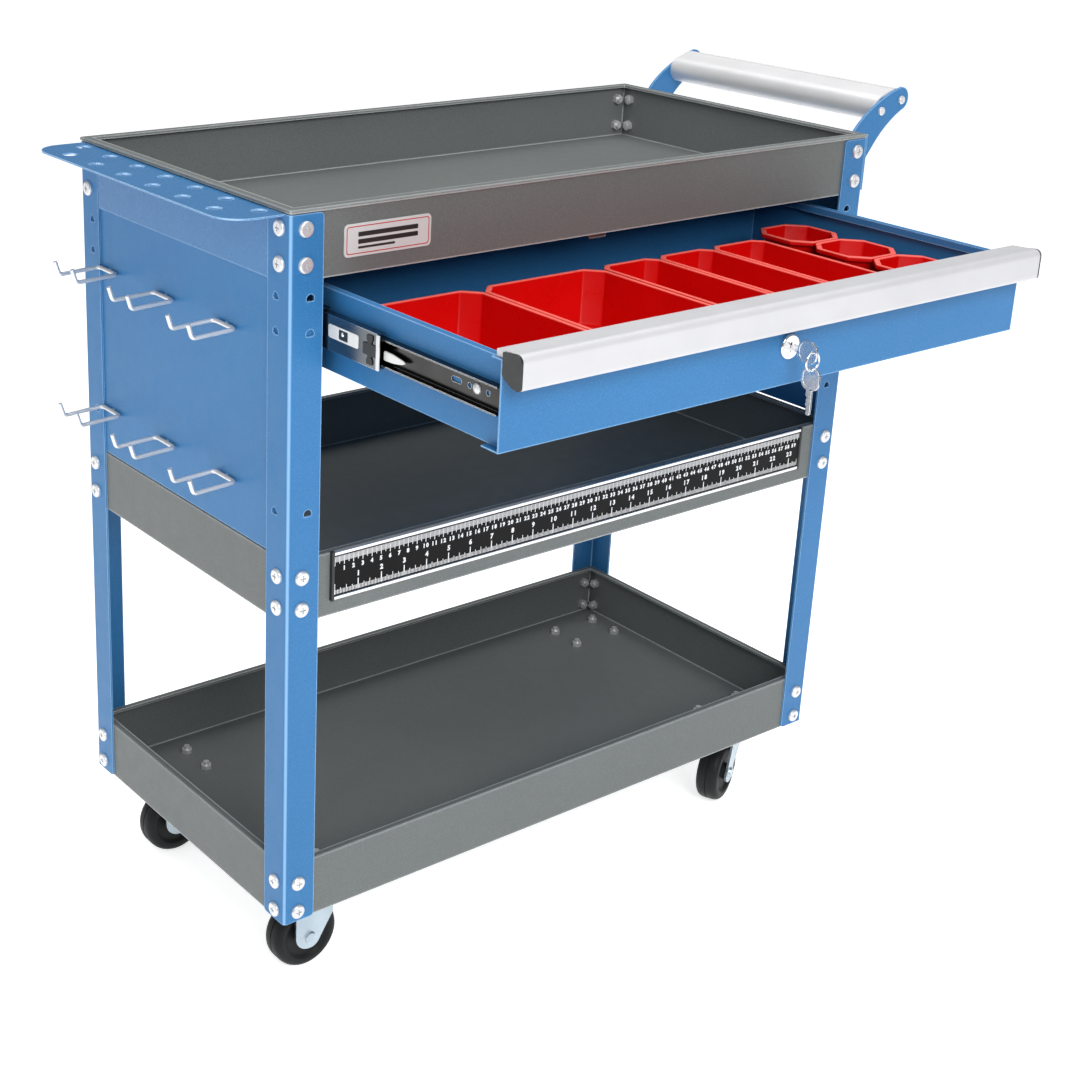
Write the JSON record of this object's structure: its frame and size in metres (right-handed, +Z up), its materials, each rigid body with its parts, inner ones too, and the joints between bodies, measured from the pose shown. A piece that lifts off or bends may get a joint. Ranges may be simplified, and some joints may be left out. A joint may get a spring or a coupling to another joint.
{
  "type": "rolling tool chest",
  "caption": "Rolling metal tool cart with stacked open trays, a sliding drawer of parts bins, a screwdriver rack, hooks, a push handle and casters.",
  "frame": {"origin": "on the floor under the middle of the overall box, with the drawer drawn out 222 mm", "axes": "+Z up, +X along the trays from the rack end to the handle end, the drawer opens towards -Y"},
  "size_m": [0.847, 0.6215, 0.8005],
  "materials": {
    "blue_paint": "satin powder coat",
    "grey_paint": "satin powder coat",
    "silver_aluminium": "satin anodised",
    "ruler_black": "printed film",
    "black_plastic": "moulded",
    "slide_steel": "zinc plated",
    "zinc_plate": "blue zinc plated",
    "bright_fastener": "bright zinc plated",
    "chrome": "polished",
    "red_plastic": "glossy moulded",
    "label_white": "printed film"
  },
  "bodies": {
    "cart": {"leg_front_left": "blue_paint", "leg_front_right": "blue_paint", "leg_back_left": "blue_paint", "leg_back_right": "blue_paint", "top_tray": "grey_paint", "middle_tray": "grey_paint", "bottom_tray": "grey_paint", "screwdriver_rack": "blue_paint", "hook_panel": "blue_paint", "right_side_panel": "blue_paint", "tool_hooks": "bright_fastener", "leg_bolts": "bright_fastener", "leg_nuts": "bright_fastener", "handle_arm_front": "blue_paint", "handle_arm_back": "blue_paint", "handle_grip": "silver_aluminium", "handle_screws": "bright_fastener", "ruler_rail": "silver_aluminium", "ruler_scale": "ruler_black", "ruler_caps": "black_plastic", "label_plate": "label_white", "slide_bracket_left": "blue_paint", "slide_bracket_right": "blue_paint", "slide_cabinet_member_left": "slide_steel", "slide_cabinet_member_right": "slide_steel", "rigid_fork_front": "zinc_plate", "rigid_fork_back": "zinc_plate", "axle_front_left": "zinc_plate", "axle_back_left": "zinc_plate", "swivel_plate_front": "zinc_plate", "swivel_plate_back": "zinc_plate", "kingpins": "zinc_plate", "caster_bolts": "bright_fastener", "caster_nuts": "bright_fastener"},
    "drawer": {"drawer_box": "blue_paint", "drawer_front": "blue_paint", "drawer_pull": "silver_aluminium", "pull_caps": "black_plastic", "slide_drawer_member_left": "slide_steel", "slide_drawer_member_right": "slide_steel", "lock_housing": "chrome", "lock_nut": "bright_fastener", "large_bin_left": "red_plastic", "large_bin_right": "red_plastic", "narrow_bins": "red_plastic", "small_bins": "red_plastic"},
    "intermediate_left": {"slide_intermediate_left": "slide_steel"},
    "intermediate_right": {"slide_intermediate_right": "slide_steel"},
    "lock": {"lock_plug": "chrome", "key": "chrome"},
    "ring": {"key_ring": "chrome"},
    "spare": {"spare_key": "chrome"},
    "swivel_front": {"swivel_fork_front": "zinc_plate", "axle_front_right": "zinc_plate"},
    "swivel_back": {"swivel_fork_back": "zinc_plate", "axle_back_right": "zinc_plate"},
    "roll_front_left": {"wheel_front_left": "black_plastic"},
    "roll_back_left": {"wheel_back_left": "black_plastic"},
    "roll_front_right": {"wheel_front_right": "black_plastic"},
    "roll_back_right": {"wheel_back_right": "black_plastic"}
  },
  "joints": [
    {"name": "drawer_slide", "type": "slide", "parent": "cart", "child": "drawer", "axis": [0, -1, 0], "range_m": [-0.222, 0.078]},
    {"name": "slide_left", "type": "slide", "parent": "cart", "child": "intermediate_left", "axis": [0, -1, 0], "range_m": [-0.111, 0.039]},
    {"name": "slide_right", "type": "slide", "parent": "cart", "child": "intermediate_right", "axis": [0, -1, 0], "range_m": [-0.111, 0.039]},
    {"name": "lock_turn", "type": "hinge", "parent": "drawer", "child": "lock", "pos_m": [-0.0175, -0.27225, 0.652], "axis": [0, 1, 0], "range_deg": [-90, 0]},
    {"name": "key_ring_swing", "type": "hinge", "parent": "lock", "child": "ring", "pos_m": [-0.0175, -0.30025, 0.652], "axis": [1, 0, 0], "range_deg": [-60, 4]},
    {"name": "spare_key_swing", "type": "hinge", "parent": "ring", "child": "spare", "pos_m": [-0.0175, -0.30025, 0.637], "axis": [1, 0, 0], "range_deg": [-20, 5]},
    {"name": "swivel_front_turn", "type": "hinge", "parent": "cart", "child": "swivel_front", "pos_m": [0.2775, 0.00575, 0.08], "axis": [0, 0, 1], "continuous": true},
    {"name": "swivel_back_turn", "type": "hinge", "parent": "cart", "child": "swivel_back", "pos_m": [0.2775, 0.25175, 0.08], "axis": [0, 0, 1], "continuous": true},
    {"name": "wheel_front_left_roll", "type": "hinge", "parent": "cart", "child": "roll_front_left", "pos_m": [-0.3125, 0.00575, 0.035], "axis": [0, 1, 0], "continuous": true},
    {"name": "wheel_back_left_roll", "type": "hinge", "parent": "cart", "child": "roll_back_left", "pos_m": [-0.3125, 0.25175, 0.035], "axis": [0, 1, 0], "continuous": true},
    {"name": "wheel_front_right_roll", "type": "hinge", "parent": "swivel_front", "child": "roll_front_right", "pos_m": [0.25081, -0.00558, 0.035], "axis": [-0.3907, 0.9205, 0], "continuous": true},
    {"name": "wheel_back_right_roll", "type": "hinge", "parent": "swivel_back", "child": "roll_back_right", "pos_m": [0.25061, 0.26261, 0.035], "axis": [0.3746, 0.9272, 0], "continuous": true}
  ],
  "couplings": [
    {"joint": "slide_left", "follows": "drawer_slide", "ratio": 0.5},
    {"joint": "slide_right", "follows": "drawer_slide", "ratio": 0.5}
  ]
}
